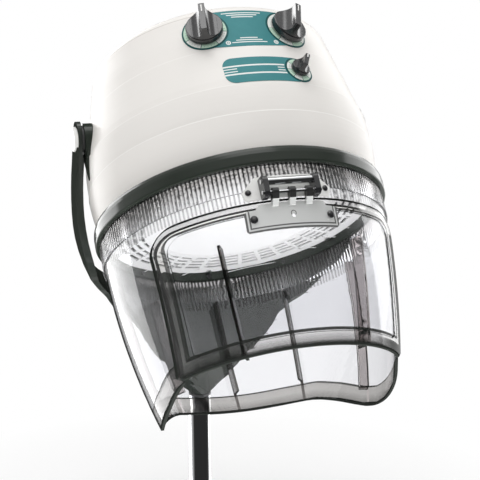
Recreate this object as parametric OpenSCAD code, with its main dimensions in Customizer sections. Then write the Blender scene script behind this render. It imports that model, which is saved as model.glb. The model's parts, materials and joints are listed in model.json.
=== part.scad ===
// Salon hood hair dryer head: a tilting hood with a clear visor and a hinged front
// door, carried by a leaf-shaped yoke that swivels on the top of a stand tube.
// Millimetres. +Z is up, the open front faces -Y, and the origin is the centre of the
// stand tube's lower end. Hood pieces are drawn in the hood's own frame, whose origin
// is the middle of the rim's lower face, and are then leaned back about the pivots.

/* [Stand tube] */
// Outer diameter of the chrome stand tube
tube_d = 34; // [30:1:40]
// Wall thickness of the stand tube
tube_wall = 3; // [2:0.5:4]
// Length of the stand tube
tube_len = 226; // [180:1:400]
// Length of the lower end that goes into the stand
stem_len = 80; // [50:1:120]

/* [Yoke] */
// Height of the tilt pivots above the bottom of the hub
yoke_drop = 421; // [400:1:480]
// Distance from the tube's axis forward to the tilt pivots
yoke_reach = 133; // [120:1:160]
// Thickness of the two arms
arm_t = 10.5; // [9:0.5:13]
// Width of the arms at the pivots
arm_w = 32; // [28:1:38]
// Wall thickness of the leaf behind the hood
leaf_t = 7; // [5:0.5:10]
// Gap between the rim and each arm
arm_gap = 1; // [0.8:0.1:3]
// Length of the steel spigot that turns in the tube
spigot_len = 55; // [40:1:80]
// Thickness of the nylon washer on top of the tube
swivel_t = 3; // [2:0.5:5]

/* [Tilt pivots] */
// Diameter of the tilt pins
pin_d = 12; // [10:0.5:14]
// Outer diameter of the flanged bushes in the hood
bush_d = 24; // [20:1:26]
// Diameter of the white pivot caps
cap_d = 34; // [30:1:40]
// Thickness of the white pivot caps
cap_t = 5; // [4.5:0.5:6]
// Length of the tapered tail of each pivot shoe
shoe_tail = 58; // [40:1:62]

/* [Hood] */
// Outside diameter of the rim
rim_d = 400; // [380:1:420]
// Height of the rim ring
rim_h = 24; // [20:1:30]
// Angle that the hood leans back at rest
lean = 35; // [30:1:45]
// Height of the tilt pivots above the rim's lower face
pivot_h = 147; // [140:1:160]
// Height of the shell's shoulder above the rim's lower face
shoulder_h = 238; // [228:1:246]
// Rise of the top cap above the shoulder
cap_rise = 32; // [26:1:44]
// Wall thickness of the shell and the top cap
shell_t = 3; // [2.5:0.5:4]
// Depth of the steps round the shell
step_in = 1.2; // [0.6:0.2:2]

/* [Visor] */
// Width of the rim ring outside the visor
rim_wall = 6.5; // [6.5:0.5:9]
// Wall thickness of the visor and the door
visor_t = 2.6; // [2:0.2:3]
// How much the visor narrows on each side down to its lowest edge
visor_taper = 38.5; // [25:0.5:45]
// Depth of the visor at the sides, where it hangs lowest
side_depth = 259; // [240:1:280]
// Depth of the visor at the back of the neck
neck_depth = 211; // [190:1:220]
// Height of the band of fine ribs below the rim
rib_band_h = 34; // [20:1:36]
// Number of fine ribs round the visor
rib_count = 216; // [120:12:216]
// Thickness of the stiffening fins
fin_t = 3.5; // [2.5:0.5:5]
// Depth of the stiffening fins
fin_d = 16; // [8:1:18]

/* [Door] */
// Half width of the door at its top corners
door_half_w = 163; // [154:1:166]
// Half width of the door at its bottom corners
door_foot_w = 149; // [140:1:152]
// Depth of the door's lower edge below the rim
door_depth = 232; // [215:1:240]
// Depth of the door's upper edge below the rim
door_top = 50; // [50:1:56]
// Width of the thick border round the door
border_w = 16; // [12:1:22]
// Clearance between the door and the visor behind it
door_gap = 0.6; // [0.5:0.1:1]

/* [Hinge] */
// Depth of the hinge axis below the rim
hinge_z = 45; // [44:1:46]
// Distance of the hinge axis in front of the visor's wall
hinge_out = 13.5; // [12.5:0.5:15]
// Diameter of the hinge pin
hinge_pin_d = 5; // [4:0.5:6]
// Diameter of the chrome spring barrel
barrel_d = 10; // [8:0.5:11]
// Half distance between the hinge lugs
lug_x = 33; // [32:1:40]
// Thickness of each lug
lug_t = 7; // [5:0.5:8]

/* [Diffuser] */
// Slots in each row
slot_count = 36; // [24:1:40]
// Rows of slots
slot_rows = 4; // [3:1:5]
// Distance from one row to the next
row_pitch = 10.8; // [9:0.2:12]
// Width of the ribs between two slots
spoke_w = 6; // [4:0.5:8]
// Thickness of the slotted plate
plate_t = 2; // [1.5:0.5:2]
// Rise of the dish in the middle of the plate
dish_rise = 14; // [8:1:20]

/* [Controls] */
// Diameter of the two large knobs
knob_d = 49; // [40:1:52]
// Height of the large knobs above the shell
knob_h = 30; // [24:1:34]
// Diameter of the small knob
small_knob_d = 25; // [20:1:28]
// Height of the small knob above the shell
small_knob_h = 22; // [18:1:26]
// Diameter of the large dials
dial_d = 58; // [54:1:60]
// Diameter of the small dial
small_dial_d = 37; // [32:1:40]
// Diameter of the knob shafts
shaft_d = 6; // [5:0.5:7]
// Thickness of the label plates
label_t = 0.6; // [0.4:0.1:1]

/* [Fan and heater] */
// Inside diameter of the air duct
duct_d = 224; // [200:1:230]
// Wall thickness of the air duct
duct_t = 2; // [1.5:0.5:3]
// Height of the air duct above the rim's lower face
duct_h = 150; // [140:1:155]
// Diameter of the fan over its blades
fan_d = 206; // [160:1:214]
// Number of fan blades
blade_count = 7; // [5:1:9]
// Diameter of the motor
motor_d = 76; // [60:1:84]
// Height of the motor
motor_h = 50; // [40:1:60]
// Height of the heater above the rim's lower face
heater_h = 78; // [70:1:85]

/* [Hidden] */
$fn = 96;

eps = 0.01;
seat = 0.2;        // clearance between pieces of one body that seat on each other
run = 0.05;        // radial clearance of a turning fit
slide = 0.3;       // gap between flat faces that move past each other

// ---- places in the stand's frame ----
tube_r = tube_d / 2;
bore_r = tube_r - tube_wall;
washer_bottom = tube_len + slide;
hub_bottom = washer_bottom + swivel_t;
pivot = [0, -yoke_reach, hub_bottom + yoke_drop];
groove_w = 1.5;
groove_d = 0.8;

// ---- yoke ----
rim_r = rim_d / 2;
arm_in = rim_r + arm_gap;
arm_out = arm_in + arm_t;
arm_face = arm_out - cap_t + 0.5;
hub_r = 14.5;
// Outer wall of the bowl that the yoke is cut from, from the top of the arms to the
// hub: [share of the drop, share of the way out from the hub to the arms]
bowl_share = [
    [-0.12, 0.95], [0.038, 0.98], [0.119, 1.015], [0.204, 1.03], [0.29, 1.005],
    [0.38, 0.915], [0.475, 0.722], [0.551, 0.425], [0.629, 0.24], [0.713, 0.108],
    [0.831, 0.03], [1, 0]
];
// Front edge of the yoke: [share of the drop, angle round the bowl from the back]
edge_share = [
    [0.456, 91.5], [0.494, 86.2], [0.537, 79.2], [0.601, 71.6], [0.665, 58.5],
    [0.732, 48], [0.798, 40], [0.85, 31.5], [0.903, 23.7], [0.943, 17], [1, 6]
];

// ---- shell ----
seam_share = 0.84;
seam_r = rim_r * seam_share;
// Outer wall of the shell from the rim to the shoulder: [radius, height] shares
shell_share = [
    [0.9625, 0], [0.981, 0.143], [0.985, 0.287], [0.9725, 0.426],
    [0.94, 0.564], [0.905, 0.712], [0.88, 0.833], [0.8575, 0.925], [seam_share, 1]
];
// Outer wall of the top cap from the shoulder to the crown
crown_share = [
    [seam_share, 0], [0.825, 0.18], [0.785, 0.38], [0.66, 0.67], [0.48, 0.86], [0.24, 0.97], [0, 1]
];
step_share = [0.227, 0.421, 0.708];

// ---- visor ----
visor_r = rim_r - rim_wall;
visor_in_rim = 10;
band_h = 26;
band_t = 1.2;
rib_out = 1.3;
fin_angles = [110, 147.5, 180, 212.5, 250];
door_fin_angles = [-29.3, 29.3];
door_fin_top = 92;

// ---- door and hinge ----
overlap = 8;
hinge_y = -(visor_r + hinge_out);
plate_half_w = 60;
plate_z = [55, 89];
plate_screw = [49, 73];
base_screw = [50, 37];
knuckle_r = 5.5;
lug_r = 6;
barrel_z = 30;

// ---- controls: [angle round the hood, height share up the shell] ----
timer_at = [-17.8, 0.861];
thermostat_at = [20, 0.861];
regulator_at = [17.3, 0.5266];
timer_set = -4;    // how far each knob is turned from straight up
thermostat_set = -22;
regulator_set = -30;
unit_d = 44;
unit_len = 28;
unit_gap = 8;      // between the shell's inner face and a control unit
shaft_in = 13;     // how far a shaft runs in from the shell's inner face
small_unit_d = 26;
neck_r = 5;
nut_r = 8;
nut_t = 3;
knob_lift = 2.4;

// ---- helpers ----

// A point on a Catmull-Rom curve between b and c
function curve_at(a, b, c, d, t) =
    0.5 * (2 * b + (c - a) * t + (2 * a - 5 * b + 4 * c - d) * t * t
        + (3 * b - 3 * c + d - a) * t * t * t);

// A smooth line through the points p, with n steps between neighbours
function smooth(p, n = 4) = [
    for (i = [0 : len(p) - 2])
        for (j = [0 : n - 1])
            curve_at(p[max(i - 1, 0)], p[i], p[i + 1], p[min(i + 2, len(p) - 1)], j / n),
    p[len(p) - 1]
];

function reversed(p) = [for (i = [len(p) - 1 : -1 : 0]) p[i]];

// Points on an arc of radius r from angle a to b, in n steps
function arc(r, a, b, n) = [
    for (i = [0 : n]) [r * cos(a + (b - a) * i / n), r * sin(a + (b - a) * i / n)]
];

// ---- profiles ----
shell_line = smooth([
    for (s = shell_share) [rim_r * s[0], rim_h + (shoulder_h - rim_h) * s[1]]
]);
crown_line = smooth([
    for (s = crown_share) [rim_r * s[0], shoulder_h + cap_rise * s[1]]
]);
shell_table = [for (p = shell_line) [p[1], p[0]]];
function shell_r(z) = lookup(z, shell_table);
function height(share) = rim_h + (shoulder_h - rim_h) * share;
step_z = [for (s = step_share) height(s)];
band_ends = concat([rim_h], step_z, [shoulder_h]);

// The steps make each band of the shell swell towards its top
function swell(z) =
    let (k = max([for (i = [0 : len(step_z)]) z >= band_ends[i] - eps ? i : 0]))
    step_in * (z - band_ends[k]) / (band_ends[k + 1] - band_ends[k]);
function band_points(k) =
    let (a = band_ends[k], b = band_ends[k + 1], n = 6)
    [for (i = [0 : n])
        let (z = a + (b - a) * i / n)
        [shell_r(z) + step_in * i / n * (k < len(step_z) ? 1 : 0), z]];
stepped_line = [for (k = [0 : len(step_z)]) each band_points(k)];

function visor_wall_r(z) = visor_r - visor_taper * pow(z / side_depth, 2);
function visor_line(grow, top, bottom, n = 14) = [
    for (i = [0 : n])
        let (z = top + (bottom - top) * i / n)
        [(z > 0 ? visor_r : visor_wall_r(z)) + grow, z]
];

// Lower edge of the visor seen from the side: [y, z]
edge_line = smooth([
    [-rim_r, -door_depth], [-95, -door_depth], [-62, -door_depth - 7],
    [-30, -side_depth + 8], [10, -side_depth], [45, -side_depth + 2],
    [76, -side_depth + 15], [105, -neck_depth - 17], [132, -neck_depth - 4],
    [160, -neck_depth], [rim_r, -neck_depth]
], 3);

// ---- placing ----
module hood_place() {
    translate(pivot) rotate([-lean, 0, 0]) translate([0, 0, -pivot_h]) children();
}

// Local +Z is the outward normal of the shell at an angle and a height share
module on_shell(at) {
    z = height(at[1]);
    slope = (shell_r(z + 4) - shell_r(z - 4)) / 8;
    rotate([0, 0, at[0]])
        translate([0, -shell_r(z) - swell(z), z])
            rotate([90 + atan(slope), 0, 0]) children();
}

module mirrored() {
    children();
    mirror([1, 0, 0]) children();
}

// A wall of revolution between the line p and the same line moved in by t
module wall_ring(p, t) {
    rotate_extrude()
        polygon(concat(p, reversed([for (q = p) [q[0] - t, q[1]]])));
}

// ---- stand ----
module stand_tube() {
    color("silver") difference() {
        cylinder(r = tube_r, h = tube_len);
        translate([0, 0, -1]) cylinder(r = bore_r, h = tube_len + 2);
        translate([0, 0, stem_len]) difference() {
            cylinder(r = tube_r + 1, h = groove_w);
            translate([0, 0, -1]) cylinder(r = tube_r - groove_d, h = groove_w + 2);
        }
    }
}

// ---- yoke ----
foot_r = 1.0125 * yoke_reach;
bowl_line = smooth([
    for (p = bowl_share) [foot_r + (arm_out - foot_r) * p[1], -yoke_drop * p[0]]
], 2);
bowl_table = [for (p = reversed(bowl_line)) [p[1], p[0]]];
function bowl_r(share) = lookup(-yoke_drop * share, bowl_table);

// The arms are thick, and the wall thins out into the leaf
function yoke_wall(z) = leaf_t + (arm_t - leaf_t) * min(1, max(0, (z / yoke_drop + 0.6) / 0.2));

module bowl_wall() {
    rotate_extrude() polygon(concat(
        bowl_line,
        reversed([for (q = bowl_line) [q[0] - yoke_wall(q[1]), q[1]]])
    ));
}

// The two arms seen from the side
module arm_outline() {
    h = arm_w / 2;
    front = concat(
        smooth([
            [-h + 1, 0], [-h, -0.22 * yoke_drop], [-h - 2, -0.33 * yoke_drop],
            [-h - 1, -0.4 * yoke_drop],
            for (i = [0 : 5])
                let (p = edge_share[i])
                [bowl_r(p[0]) * cos(p[1]), -yoke_drop * p[0]]
        ], 3),
        [[0.8 * bowl_r(0.78), -0.78 * yoke_drop]]
    );
    back = smooth([
        [h - 1, 0], [h, -0.215 * yoke_drop], [h + 8, -0.3 * yoke_drop],
        [0.16 * bowl_r(0.37), -0.37 * yoke_drop], [0.264 * bowl_r(0.432), -0.432 * yoke_drop],
        [0.406 * bowl_r(0.477), -0.477 * yoke_drop], [0.58 * bowl_r(0.53), -0.53 * yoke_drop],
        [0.71 * bowl_r(0.555), -0.555 * yoke_drop]
    ], 3);
    top = [for (p = arc(h - 1, 0, 180, 12)) [p[0], p[1] + 9]];
    polygon(concat(top, front, reversed(back)));
}

// The leaf seen from the front
module leaf_outline() {
    edge = smooth([
        for (i = [10 : -1 : 5])
            let (p = edge_share[i])
            [bowl_r(p[0]) * sin(p[1]), -yoke_drop * p[0]]
    ], 3);
    w = 0.56 * arm_out;
    top = [for (i = [10 : -1 : -10]) [w * i / 10, (-0.622 + 0.074 * pow(i / 10, 2)) * yoke_drop]];
    polygon(concat(
        edge, [[w, -0.66 * yoke_drop]], top,
        [[-w, -0.66 * yoke_drop]], reversed([for (p = edge) [-p[0], p[1]]])
    ));
}

// The flat seats that the tilt pivot's washer and cap lie on
module pivot_seats() {
    r = cap_d / 2 + 0.5;
    mirrored() {
        on_pivot(arm_in - 30) cylinder(r = arm_w / 2 + 12, h = 30);
        on_pivot(arm_face) cylinder(r = r, h = 30);
        translate(pivot + [arm_face, -r, 0]) cube([30, 2 * r, 60]);
    }
}

module yoke_frame() {
    color([0.2, 0.23, 0.21]) difference() {
        union() {
            translate(pivot) intersection() {
                bowl_wall();
                union() {
                    translate([0, 2 * rim_r, 0]) rotate([90, 0, 0])
                        linear_extrude(2 * rim_r - 15) leaf_outline();
                    translate([-rim_d, 0, 0]) rotate([90, 0, 90])
                        linear_extrude(2 * rim_d) arm_outline();
                }
            }
            mirrored() on_pivot(arm_in) cylinder(r = arm_w / 2 - 1, h = arm_face - arm_in);
            translate([0, 0, hub_bottom]) cylinder(r = hub_r, h = 28);
            translate([0, 0, hub_bottom + 28]) cylinder(r1 = hub_r, r2 = 5, h = 36);
        }
        pivot_seats();
        translate([0, 0, hub_bottom - 1]) cylinder(r = spigot_neck_r, h = 25);
        translate([0, 0, hub_bottom + 14]) rotate([-90, 0, 0])
            cylinder(r = hub_screw_r, h = 40);
        mirrored() on_pivot(arm_in - 1) cylinder(r = pin_d / 2, h = arm_t + 2);
    }
}

spigot_r = bore_r - run;
spigot_neck_r = 9;
hub_screw_r = 3;

module yoke_spigot() {
    color("silver") union() {
        translate([0, 0, hub_bottom - swivel_t - spigot_len])
            cylinder(r = spigot_r, h = spigot_len);
        translate([0, 0, hub_bottom - swivel_t]) cylinder(r = spigot_neck_r, h = swivel_t + 24);
    }
}

module swivel_washer() {
    color("dimgray") translate([0, 0, washer_bottom]) difference() {
        cylinder(r = tube_r + 0.5, h = swivel_t);
        translate([0, 0, -1]) cylinder(r = spigot_neck_r, h = swivel_t + 2);
    }
}

module hub_screw() {
    color("silver") translate([0, 0, hub_bottom + 14]) rotate([-90, 0, 0]) difference() {
        union() {
            translate([0, 0, spigot_neck_r]) cylinder(r = hub_screw_r, h = hub_r - spigot_neck_r);
            translate([0, 0, hub_r]) cylinder(r = 5.5, h = 4);
        }
        translate([0, 0, hub_r + 2]) cylinder(r = 2.5, h = 3, $fn = 6);
    }
}

// ---- tilt pivots, drawn for the right side ----
bush_in = rim_r * 0.88;
bush_flange = 3.2;
shoe_face = rim_r - 2;
nut_len = 6;

module on_pivot(x) {
    translate(pivot + [x, 0, 0]) rotate([0, 90, 0]) children();
}

module tilt_pin() {
    color("silver") union() {
        on_pivot(bush_in - nut_len - slide) cylinder(r = pin_d / 2, h = arm_face - bush_in + nut_len + slide);
        on_pivot(arm_face) cylinder(r = pin_d / 2 + 4, h = 2.8, $fn = 6);
    }
}

module tilt_pin_right() { tilt_pin(); }
module tilt_pin_left() { mirror([1, 0, 0]) tilt_pin(); }

module pin_nuts() {
    color("silver") mirrored() on_pivot(bush_in - nut_len - slide) difference() {
        cylinder(r = pin_d / 2 + 5, h = nut_len, $fn = 6);
        translate([0, 0, -1]) cylinder(r = pin_d / 2, h = nut_len + 2);
    }
}

module friction_washers() {
    color("dimgray") mirrored() on_pivot(shoe_face + slide) difference() {
        cylinder(r = 18, h = arm_in - shoe_face - slide);
        translate([0, 0, -1]) cylinder(r = pin_d / 2, h = 10);
    }
}

module pivot_cap() {
    color("white") on_pivot(arm_face) difference() {
        rotate_extrude() polygon([
            [0, 0], [cap_d / 2, 0], [cap_d / 2, cap_t - 1.5],
            [cap_d / 2 - 0.5, cap_t - 0.5], [cap_d / 2 - 1.6, cap_t], [0, cap_t]
        ]);
        translate([0, 0, -1]) cylinder(r = pin_d / 2 + 4 + seat, h = 3.8 + seat);
    }
}

module pivot_cap_right() { pivot_cap(); }
module pivot_cap_left() { mirror([1, 0, 0]) pivot_cap(); }

module pivot_shoe() {
    color([0.2, 0.23, 0.21]) difference() {
        translate([bush_in, 0, pivot_h]) rotate([90, 0, 90])
            linear_extrude(shoe_face - bush_in) hull() {
                circle(r = 21);
                translate([0, -shoe_tail]) circle(r = 4.5);
            }
        shell_solid(0, $fn = 240);
        translate([bush_in - 1, 0, pivot_h]) rotate([0, 90, 0])
            cylinder(r = bush_d / 2, h = 40);
    }
}

module pivot_shoe_right() { hood_place() pivot_shoe(); }
module pivot_shoe_left() { hood_place() mirror([1, 0, 0]) pivot_shoe(); }

module pivot_bush() {
    color("gray") translate([bush_in, 0, pivot_h]) rotate([0, 90, 0]) difference() {
        union() {
            cylinder(r = bush_d / 2, h = shoe_face - bush_in);
            cylinder(r = bush_d / 2 + 6, h = bush_flange);
        }
        translate([0, 0, -1]) cylinder(r = pin_d / 2 + run, h = shoe_face);
    }
}

module pivot_bush_right() { hood_place() pivot_bush(); }
module pivot_bush_left() { hood_place() mirror([1, 0, 0]) pivot_bush(); }

// ---- hood shell ----

// The shell as a solid body, grown outwards by a little
module shell_solid(grow) {
    rotate_extrude() polygon(concat(
        [[0, rim_h]],
        [for (p = stepped_line) [p[0] + grow, p[1]]],
        [[0, shoulder_h]]
    ));
}

boss_angles = [30, 90, 150, 210, 270, 330];

boss_r = visor_r - visor_t - 7.4;
shell_foot_r = rim_r * shell_share[0][0];

module boss_places() {
    for (a = boss_angles) rotate([0, 0, a]) translate([boss_r, 0]) children();
}

module control_hole(at) {
    on_shell(at) translate([0, 0, -15]) cylinder(r = neck_r + seat, h = 30);
}

gland_z = 60;

module shell_boss() {
    difference() {
        union() {
            translate([0, 0, duct_z0 + duct_t]) cylinder(r = 4.4, h = 22);
            translate([0, -2.5, rim_h]) cube([shell_foot_r - 0.4 - boss_r, 5, 22]);
        }
        translate([0, 0, -1]) cylinder(r = 2, h = duct_z0 + duct_t + 16);
    }
}

module lower_shell() {
    color([0.93, 0.92, 0.9]) hood_place() difference() {
        union() {
            difference() {
                shell_solid(0);
                rotate_extrude() polygon(concat(
                    [[0, rim_h - 1], [shell_foot_r - shell_t, rim_h - 1]],
                    [for (p = shell_line) [p[0] - shell_t, p[1]]],
                    [[seam_r - shell_t, shoulder_h + 1], [0, shoulder_h + 1]]
                ));
            }
            boss_places() shell_boss();
        }
        mirrored() translate([bush_in, 0, pivot_h]) rotate([0, 90, 0])
            cylinder(r = bush_d / 2, h = 60);
        control_hole(timer_at);
        control_hole(thermostat_at);
        control_hole(regulator_at);
        translate([0, 0, gland_z]) rotate([-90, 0, 0]) cylinder(r = 8, h = rim_r);
        cap_screw_places() translate([0, 0, -1]) cylinder(r = 1.6, h = 9);
    }
}

vent_rows = [40, 56, 72];

// The cap's inner wall is thicker where it turns down into the skirt
crown_inner = [
    for (p = crown_line)
        [max(0, p[0] - shell_t * (1 + max(0, 1 - (p[1] - shoulder_h) / 24))), p[1] - shell_t]
];

module top_cap() {
    skirt_r = seam_r - shell_t - seat;
    color([0.93, 0.92, 0.9]) hood_place() difference() {
        rotate_extrude() polygon(concat(
            [[skirt_r - shell_t, shoulder_h - 6], [skirt_r, shoulder_h - 6], [skirt_r, shoulder_h]],
            crown_line,
            reversed(crown_inner)
        ));
        for (r = vent_rows)
            for (k = [0 : 7])
                rotate([0, 0, 45 * k]) translate([0, 0, shoulder_h + cap_rise - 40])
                    linear_extrude(60) polygon(concat(
                        arc(r + 3, 6, 39, 6), arc(r - 3, 39, 6, 6)
                    ));
    }
}

module rim_ring() {
    in_r = visor_r - visor_t - seat;
    lip_r = visor_r - visor_t - 2.8;
    color([0.16, 0.18, 0.17]) hood_place() difference() {
        rotate_extrude($fn = 180) polygon(concat(
            [[visor_r, 0], [rim_r - 1.6, 0], [rim_r - 0.5, 0.6], [rim_r, 2],
            [rim_r, rim_h * 0.55], [rim_r - 0.6, rim_h * 0.74], [rim_r - 2.2, rim_h * 0.9],
            [rim_r - 4.5, rim_h * 0.975], [rim_r - 7, rim_h]],
            [[lip_r, rim_h], [lip_r, ledge_z + ledge_t], [in_r - 12, ledge_z + ledge_t],
            [in_r - 12, ledge_z], [lip_r, ledge_z], [lip_r, 0], [in_r, 0],
            [in_r, visor_in_rim], [visor_r, visor_in_rim]]
        ));
        boss_places() cylinder(r = 2, h = rim_h);
        visor_screw_places() cylinder(r = 1.6, h = 8);
    }
}

// Local +Z points inwards, with the origin on the shell just below the shoulder
module cap_screw_places() {
    z = shoulder_h - 3;
    for (a = [110, 180, 250])
        rotate([0, 0, a]) translate([0, -shell_r(z) - 0.2, z]) rotate([-90, 0, 0]) children();
}

module cap_screws() {
    color("silver") hood_place() cap_screw_places() union() {
        translate([0, 0, -0.8]) cylinder(r = 1.6, h = shell_t + 1.6);
        translate([0, 0, -2.5]) cylinder(r = 3, h = 1.8);
    }
}

module cable_gland() {
    r = shell_r(gland_z);
    color("dimgray") hood_place() translate([0, 0, gland_z]) rotate([-90, 0, 0]) difference() {
        union() {
            translate([0, 0, r - 14]) cylinder(r = 8, h = 14);
            translate([0, 0, r + step_in + 0.8]) cylinder(r1 = 11, r2 = 9, h = 8);
            translate([0, 0, r - 1]) cylinder(r = 8, h = 4);
            translate([0, 0, r - 14]) cylinder(r = 11, h = 6, $fn = 6);
        }
        translate([0, 0, r - 20]) cylinder(r = 4.2, h = 40);
    }
}

// ---- controls ----

dial_edge = 1.5;     // teal outline round a dial
lower_half_h = 20;   // half height of the lower label

// A plate of thickness t that lies on the shell, on top of another of thickness under
module on_skin(t, under = 0) {
    difference() {
        intersection() {
            shell_solid(under + t);
            children();
        }
        shell_solid(under);
    }
}

module dial_prism(at, d, deep = 30) {
    on_shell(at) translate([0, 0, -deep]) cylinder(r = d / 2, h = deep + 20);
}

module upper_label() {
    low = height(step_share[2]) + 0.6;
    z = height(timer_at[1]);
    half_w = shell_r(z) * sin(thermostat_at[0]) - 3;
    ends = z - 0.48 * dial_d;
    color("teal") hood_place() difference() {
        on_skin(label_t) union() {
            dial_prism(timer_at, dial_d + 2 * dial_edge);
            dial_prism(thermostat_at, dial_d + 2 * dial_edge);
            translate([0, -20, 0]) rotate([90, 0, 0]) linear_extrude(rim_r)
                polygon(concat(
                    [[-half_w, shoulder_h + 1], [half_w, shoulder_h + 1]],
                    [for (i = [8 : -1 : -8]) [half_w * i / 8, low + (ends - low) * pow(i / 8, 2)]]
                ));
        }
        control_hole(timer_at);
        control_hole(thermostat_at);
        translate([0, 0, shoulder_h - 0.5]) cylinder(r = rim_r, h = 30);
        translate([0, 0, low - 40]) cylinder(r = rim_r, h = 40);
    }
}

module lower_label() {
    z = height(regulator_at[1]);
    color("teal") hood_place() difference() {
        on_skin(label_t) union() {
            dial_prism(regulator_at, small_dial_d + 2 * dial_edge);
            translate([0, -20, z]) rotate([90, 0, 0]) linear_extrude(rim_r) hull()
                for (x = [-33, 50], y = [-1, 1])
                    translate([x, y * (lower_half_h - 13)]) circle(r = 13);
        }
        control_hole(regulator_at);
        translate([0, 0, height(step_share[1]) - 39.4]) cylinder(r = rim_r, h = 40);
    }
}

module dial_ring(at, d, hole_d) {
    difference() {
        on_skin(0.4, label_t) dial_prism(at, d);
        dial_prism(at, hole_d);
    }
}

module dial_rings() {
    color("honeydew") hood_place() difference() {
        union() {
            dial_ring(timer_at, dial_d, 22);
            dial_ring(thermostat_at, dial_d, 22);
            dial_ring(regulator_at, small_dial_d, 20);
        }
        translate([0, 0, shoulder_h - 0.6]) cylinder(r = rim_r, h = 30);
    }
}

// A control unit inside the shell: its body, and the neck that passes through the wall
module control_unit(at, d, len) {
    on_shell(at) difference() {
        union() {
            translate([0, 0, -shell_t - unit_gap - len]) cylinder(r = d / 2, h = len);
            translate([0, 0, -shell_t - unit_gap - 1]) cylinder(r = neck_r, h = shell_t + unit_gap + 6.5);
        }
        translate([0, 0, -shell_t - shaft_in - slide])
            cylinder(r = shaft_d / 2 + run, h = shell_t + shaft_in + 10);
    }
}

module timer_unit() {
    color("dimgray") hood_place() control_unit(timer_at, unit_d, unit_len);
}

module thermostat_unit() {
    color("dimgray") hood_place() control_unit(thermostat_at, unit_d, unit_len * 0.8);
}

module regulator_unit() {
    color("dimgray") hood_place() control_unit(regulator_at, small_unit_d, unit_len * 0.8);
}

module control_nuts() {
    color("silver") hood_place()
        for (at = [timer_at, thermostat_at, regulator_at])
            on_shell(at) translate([0, 0, label_t + seat]) difference() {
                cylinder(r = nut_r, h = nut_t, $fn = 6);
                translate([0, 0, -1]) cylinder(r = neck_r, h = nut_t + 2);
            }
}

// A knob with a skirt and a ridge between two scoops
module knob(d, h, ridge_w) {
    r = d / 2;
    skirt = knob_lift + 0.3 * (h - knob_lift);
    scoop = 0.55 * r;
    difference() {
        union() {
            rotate_extrude() polygon([
                [0, knob_lift], [r, knob_lift], [r, skirt - 1], [r - 0.3, skirt - 0.3],
                [r - 1, skirt], [0, skirt]
            ]);
            intersection() {
                translate([0, 0, skirt - 1]) cylinder(r1 = r - 0.8, r2 = r * 0.9, h = h - skirt + 1);
                translate([0, r, 0]) rotate([90, 0, 0]) linear_extrude(d) difference() {
                    translate([-ridge_w / 2 - scoop, skirt - 1])
                        square([ridge_w + 2 * scoop, h - skirt + 1]);
                    for (s = [-1, 1]) {
                        translate([s * (ridge_w / 2 + scoop), skirt + scoop + 0.2]) circle(r = scoop);
                        translate([s * (ridge_w / 2 + r), skirt + scoop + 0.2 + h / 2])
                            square([2 * r, h], center = true);
                    }
                }
            }
        }
        cylinder(r = nut_r + 1, h = label_t + seat + nut_t + 3);
        cylinder(r = shaft_d / 2, h = h - 5);
    }
}

// The white pointer let into the ridge of a knob
module knob_mark(d, h) {
    translate([-0.8, d * 0.16, h]) cube([1.6, d * 0.24, 0.4]);
}

module knob_at(at, turn) {
    on_shell(at) rotate([0, 0, turn]) children();
}

module control_shaft(h) {
    translate([0, 0, -shell_t - shaft_in]) cylinder(r = shaft_d / 2, h = shell_t + shaft_in + h - 6);
}

module timer_knob() { color("gray") hood_place() knob_at(timer_at, timer_set) knob(knob_d, knob_h, 8); }
module timer_shaft() { color("silver") hood_place() on_shell(timer_at) control_shaft(knob_h); }
module timer_mark() { color("white") hood_place() knob_at(timer_at, timer_set) knob_mark(knob_d, knob_h); }
module thermostat_knob() { color("gray") hood_place() knob_at(thermostat_at, thermostat_set) knob(knob_d, knob_h, 8); }
module thermostat_shaft() { color("silver") hood_place() on_shell(thermostat_at) control_shaft(knob_h); }
module thermostat_mark() { color("white") hood_place() knob_at(thermostat_at, thermostat_set) knob_mark(knob_d, knob_h); }
module regulator_knob() { color([0.1, 0.1, 0.1]) hood_place() knob_at(regulator_at, regulator_set) knob(small_knob_d, small_knob_h, 6); }
module regulator_shaft() { color("silver") hood_place() on_shell(regulator_at) control_shaft(small_knob_h); }
module regulator_mark() { color("white") hood_place() knob_at(regulator_at, regulator_set) knob_mark(small_knob_d, small_knob_h); }

// ---- visor ----

// The space above the visor's lower edge, seen from the side, moved up by a little
module above_edge(up) {
    translate([-rim_r, 0, 0]) rotate([90, 0, 90]) linear_extrude(rim_d)
        polygon(concat(
            [[-rim_r, 60]], [for (p = edge_line) [p[0], p[1] + up]], [[rim_r, 60]]
        ));
}

// The door's outline seen from the front, drawn in by a little
module door_outline(inset) {
    w = door_half_w - inset;
    f = door_foot_w - inset;
    t = -door_top - inset;
    b = -door_depth + inset;
    c = 26 - inset / 2;
    right = concat(
        [[f - 6, b], [f, b + 6]],
        [[w, t - c]],
        [for (p = arc(c, 0, 90, 6)) [w - c + p[0], t - c + p[1]]]
    );
    polygon(concat(right, reversed([for (p = right) [-p[0], p[1]]])));
}

module front_prism(inset) {
    translate([0, -30, 0]) rotate([90, 0, 0]) linear_extrude(rim_r) door_outline(inset);
}

module fin(angle, top, bottom, grow) {
    rotate([0, 0, angle]) intersection() {
        rotate_extrude(angle = 360) polygon(concat(
            visor_line(grow, -top, -bottom, 6),
            reversed(visor_line(grow - fin_d, -top, -bottom, 6))
        ));
        translate([-fin_t / 2, -rim_r, -bottom]) cube([fin_t, rim_r - 60, bottom - top]);
    }
}

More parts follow.
